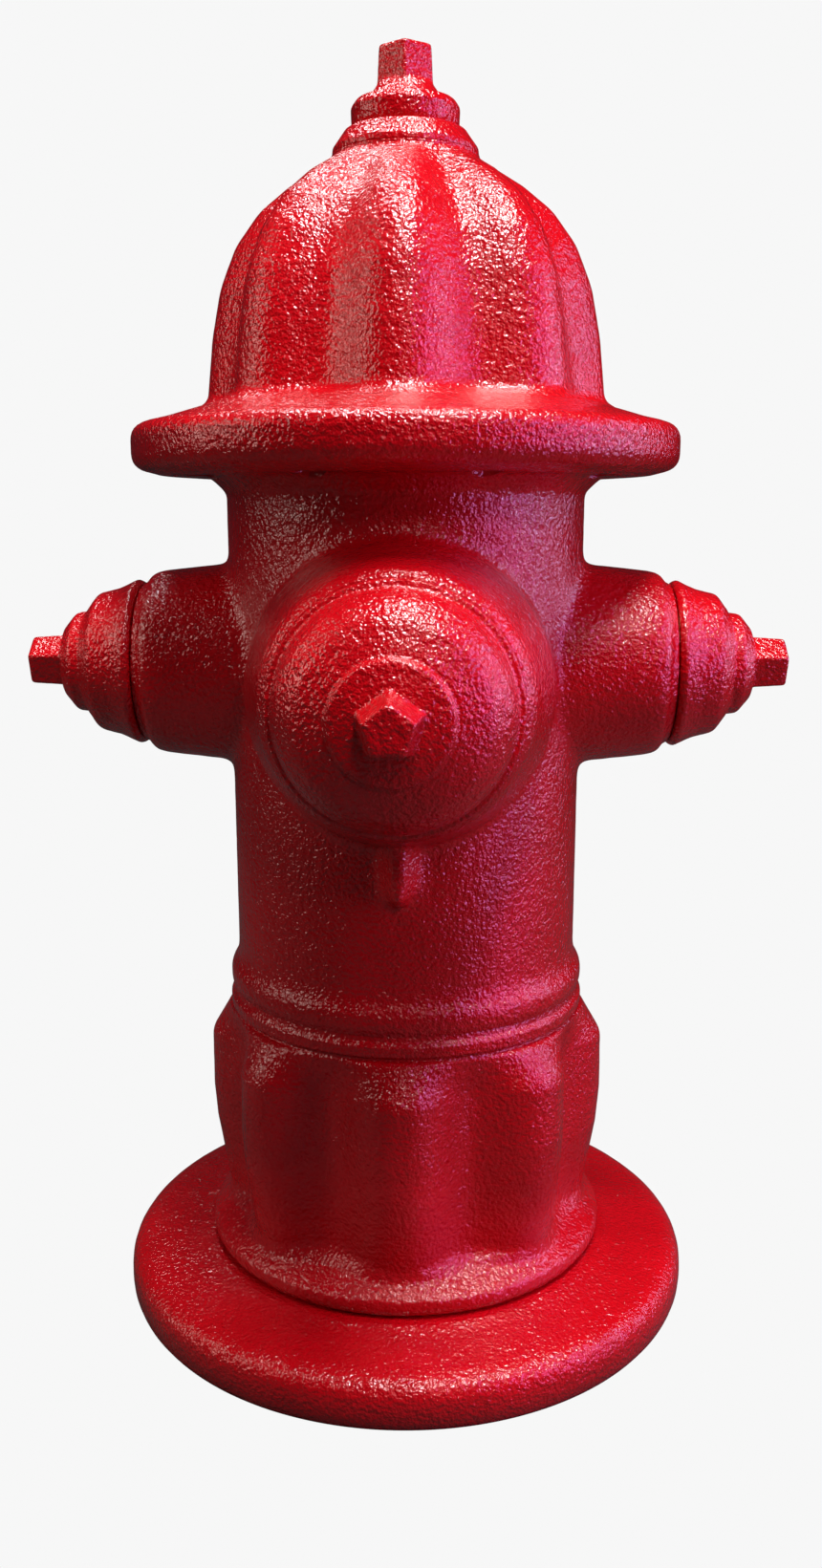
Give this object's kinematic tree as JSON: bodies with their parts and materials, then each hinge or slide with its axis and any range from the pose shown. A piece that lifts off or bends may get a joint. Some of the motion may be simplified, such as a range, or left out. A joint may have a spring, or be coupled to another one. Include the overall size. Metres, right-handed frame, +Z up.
{
  "type": "fire hydrant",
  "caption": "Red dry-barrel fire hydrant with a ribbed bonnet, side hose nozzles, a front pumper nozzle and a round ground flange; caps and valve stem unscrew.",
  "frame": {"origin": "hydrant axis at the ground face, which is also the centre of the inlet bore's mouth", "axes": "+Z up the stem, -Y out of the pumper nozzle, +X and -X out of the hose nozzles"},
  "size_m": [0.499, 0.4439, 0.813],
  "materials": {
    "red_paint": "thick gloss red enamel over a pebbled casting",
    "cast_iron": "bitumen-coated casting",
    "bronze": "turned bronze",
    "stem_steel": "turned steel",
    "bolt_steel": "zinc-plated steel",
    "gasket_rubber": "matt black rubber",
    "valve_rubber": "moulded black rubber"
  },
  "bodies": {
    "hydrant": {"base_flange": "red_paint", "base_gasket": "gasket_rubber", "base_bolts": "bolt_steel", "lower_barrel": "red_paint", "drain_bushing": "bronze", "seat_ring": "bronze", "seat_ring_o_rings": "gasket_rubber", "breakaway_gasket": "gasket_rubber", "breakaway_ring": "cast_iron", "upper_barrel": "red_paint", "bonnet": "red_paint", "bonnet_gasket": "gasket_rubber", "bonnet_bolts": "bolt_steel", "hold_down_nut": "red_paint", "operating_nut_o_ring": "gasket_rubber", "thrust_washer": "bronze", "pumper_nozzle": "bronze", "pumper_nozzle_o_ring": "gasket_rubber", "left_hose_nozzle": "bronze", "left_hose_nozzle_o_ring": "gasket_rubber", "right_hose_nozzle": "bronze", "right_hose_nozzle_o_ring": "gasket_rubber"},
    "valve_stem": {"lower_stem": "stem_steel", "upper_stem": "stem_steel", "stem_coupling": "stem_steel", "coupling_pins": "bolt_steel", "upper_valve_plate": "bronze", "drain_facings": "gasket_rubber", "main_valve": "valve_rubber", "lower_valve_plate": "cast_iron", "valve_stem_nut": "bronze"},
    "operating_nut_body": {"operating_nut": "red_paint"},
    "pumper_gasket_body": {"pumper_cap_gasket": "gasket_rubber"},
    "pumper_cap_body": {"pumper_cap": "red_paint"},
    "left_gasket_body": {"left_hose_cap_gasket": "gasket_rubber"},
    "left_cap_body": {"left_hose_cap": "red_paint"},
    "right_gasket_body": {"right_hose_cap_gasket": "gasket_rubber"},
    "right_cap_body": {"right_hose_cap": "red_paint"}
  },
  "joints": [
    {"name": "operating_nut_turn", "type": "hinge", "parent": "hydrant", "child": "operating_nut_body", "pos_m": [0, 0, 0], "axis": [0, 0, 1], "range_deg": [0, 2520.1]},
    {"name": "valve_travel", "type": "slide", "parent": "hydrant", "child": "valve_stem", "axis": [0, 0, -1], "range_m": [0, 0.028]},
    {"name": "left_cap_travel", "type": "slide", "parent": "hydrant", "child": "left_gasket_body", "axis": [-1, 0, 0], "range_m": [0, 0.02709]},
    {"name": "left_cap_turn", "type": "hinge", "parent": "left_gasket_body", "child": "left_cap_body", "pos_m": [0, 0, 0.4365], "axis": [-1, 0, 0], "range_deg": [0, 2880]},
    {"name": "right_cap_travel", "type": "slide", "parent": "hydrant", "child": "right_gasket_body", "axis": [1, 0, 0], "range_m": [0, 0.02709]},
    {"name": "right_cap_turn", "type": "hinge", "parent": "right_gasket_body", "child": "right_cap_body", "pos_m": [0, 0, 0.4365], "axis": [1, 0, 0], "range_deg": [0, 2880]},
    {"name": "pumper_cap_travel", "type": "slide", "parent": "hydrant", "child": "pumper_gasket_body", "axis": [0, -1, 0], "range_m": [0, 0.0254]},
    {"name": "pumper_cap_turn", "type": "hinge", "parent": "pumper_gasket_body", "child": "pumper_cap_body", "pos_m": [0, 0, 0.429], "axis": [0, -1, 0], "range_deg": [0, 1440]}
  ],
  "couplings": [
    {"joint": "operating_nut_turn", "follows": "valve_travel", "rad_per_m": 1570.8},
    {"joint": "left_cap_travel", "follows": "left_cap_turn", "m_per_rad": 0.000539},
    {"joint": "right_cap_travel", "follows": "right_cap_turn", "m_per_rad": 0.000539},
    {"joint": "pumper_cap_travel", "follows": "pumper_cap_turn", "m_per_rad": 0.0010106}
  ]
}
